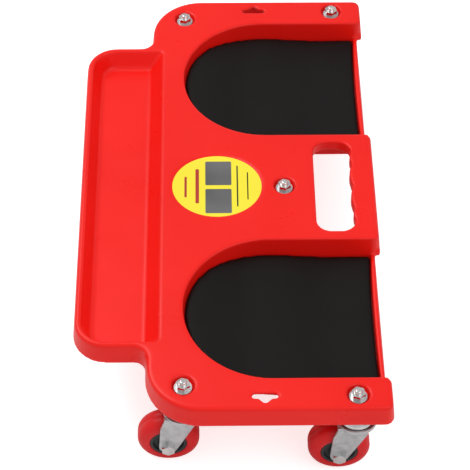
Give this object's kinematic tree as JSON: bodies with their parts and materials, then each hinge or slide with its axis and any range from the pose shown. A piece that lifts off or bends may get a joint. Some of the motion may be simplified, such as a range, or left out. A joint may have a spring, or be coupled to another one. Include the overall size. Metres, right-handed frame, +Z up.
{
  "type": "rolling kneeling creeper",
  "caption": "Low moulded kneeling creeper with padded knee wells, a front parts tray, a rear hand slot and swivel casters.",
  "frame": {"origin": "on the floor under the middle of the footprint", "axes": "+X along the long side, +Y to the rear with the hand slot, -Y to the front with the tray, +Z up"},
  "size_m": [0.4849, 0.2568, 0.095],
  "materials": {
    "red_plastic": "moulded red polypropylene, satin gloss",
    "foam": "black closed-cell foam",
    "label": "plain yellow sticker",
    "zinc": "zinc plated pressed steel",
    "chrome": "bright plated dome",
    "steel": "plain steel",
    "hub_plastic": "dark moulded hub",
    "wheel_plastic": "red moulded wheel tread"
  },
  "bodies": {
    "deck": {"deck_shell": "red_plastic", "knee_pad_left": "foam", "knee_pad_right": "foam", "label": "label", "front_left_stem_nut": "zinc", "front_left_stem_washer": "zinc", "front_left_kingpin": "zinc", "front_left_top_cup": "chrome", "front_right_stem_nut": "zinc", "front_right_stem_washer": "zinc", "front_right_kingpin": "zinc", "front_right_top_cup": "chrome", "rear_left_stem_nut": "zinc", "rear_left_stem_washer": "zinc", "rear_left_kingpin": "zinc", "rear_left_top_cup": "chrome", "rear_right_stem_nut": "zinc", "rear_right_stem_washer": "zinc", "rear_right_kingpin": "zinc", "rear_right_top_cup": "chrome", "centre_stem_nut": "zinc", "centre_stem_washer": "zinc", "centre_kingpin": "zinc", "centre_top_cup": "chrome"},
    "front_left_swivel": {"front_left_fork": "zinc", "front_left_axle_bolt": "zinc", "front_left_axle_nut": "zinc", "front_left_axle_sleeve": "steel", "front_left_swivel_balls": "steel"},
    "front_left_wheel": {"front_left_hub": "hub_plastic", "front_left_tyre": "wheel_plastic"},
    "front_right_swivel": {"front_right_fork": "zinc", "front_right_axle_bolt": "zinc", "front_right_axle_nut": "zinc", "front_right_axle_sleeve": "steel", "front_right_swivel_balls": "steel"},
    "front_right_wheel": {"front_right_hub": "hub_plastic", "front_right_tyre": "wheel_plastic"},
    "rear_left_swivel": {"rear_left_fork": "zinc", "rear_left_axle_bolt": "zinc", "rear_left_axle_nut": "zinc", "rear_left_axle_sleeve": "steel", "rear_left_swivel_balls": "steel"},
    "rear_left_wheel": {"rear_left_hub": "hub_plastic", "rear_left_tyre": "wheel_plastic"},
    "rear_right_swivel": {"rear_right_fork": "zinc", "rear_right_axle_bolt": "zinc", "rear_right_axle_nut": "zinc", "rear_right_axle_sleeve": "steel", "rear_right_swivel_balls": "steel"},
    "rear_right_wheel": {"rear_right_hub": "hub_plastic", "rear_right_tyre": "wheel_plastic"},
    "centre_swivel": {"centre_fork": "zinc", "centre_axle_bolt": "zinc", "centre_axle_nut": "zinc", "centre_axle_sleeve": "steel", "centre_swivel_balls": "steel"},
    "centre_wheel": {"centre_hub": "hub_plastic", "centre_tyre": "wheel_plastic"}
  },
  "joints": [
    {"name": "front_left_swivel_turn", "type": "hinge", "parent": "deck", "child": "front_left_swivel", "pos_m": [-0.2134, -0.03825, 0.058], "axis": [0, 0, 1], "continuous": true},
    {"name": "front_left_wheel_spin", "type": "hinge", "parent": "front_left_swivel", "child": "front_left_wheel", "pos_m": [-0.2134, -0.05075, 0.025], "axis": [1, 0, 0], "continuous": true},
    {"name": "front_right_swivel_turn", "type": "hinge", "parent": "deck", "child": "front_right_swivel", "pos_m": [0.2134, -0.03825, 0.058], "axis": [0, 0, 1], "continuous": true},
    {"name": "front_right_wheel_spin", "type": "hinge", "parent": "front_right_swivel", "child": "front_right_wheel", "pos_m": [0.2134, -0.05075, 0.025], "axis": [1, 0, 0], "continuous": true},
    {"name": "rear_left_swivel_turn", "type": "hinge", "parent": "deck", "child": "rear_left_swivel", "pos_m": [-0.2232, 0.09915, 0.058], "axis": [0, 0, 1], "continuous": true},
    {"name": "rear_left_wheel_spin", "type": "hinge", "parent": "rear_left_swivel", "child": "rear_left_wheel", "pos_m": [-0.2232, 0.08665, 0.025], "axis": [1, 0, 0], "continuous": true},
    {"name": "rear_right_swivel_turn", "type": "hinge", "parent": "deck", "child": "rear_right_swivel", "pos_m": [0.2232, 0.09915, 0.058], "axis": [0, 0, 1], "continuous": true},
    {"name": "rear_right_wheel_spin", "type": "hinge", "parent": "rear_right_swivel", "child": "rear_right_wheel", "pos_m": [0.2232, 0.08665, 0.025], "axis": [1, 0, 0], "continuous": true},
    {"name": "centre_swivel_turn", "type": "hinge", "parent": "deck", "child": "centre_swivel", "pos_m": [0, 0.04825, 0.058], "axis": [0, 0, 1], "continuous": true},
    {"name": "centre_wheel_spin", "type": "hinge", "parent": "centre_swivel", "child": "centre_wheel", "pos_m": [0, 0.03575, 0.025], "axis": [1, 0, 0], "continuous": true}
  ]
}
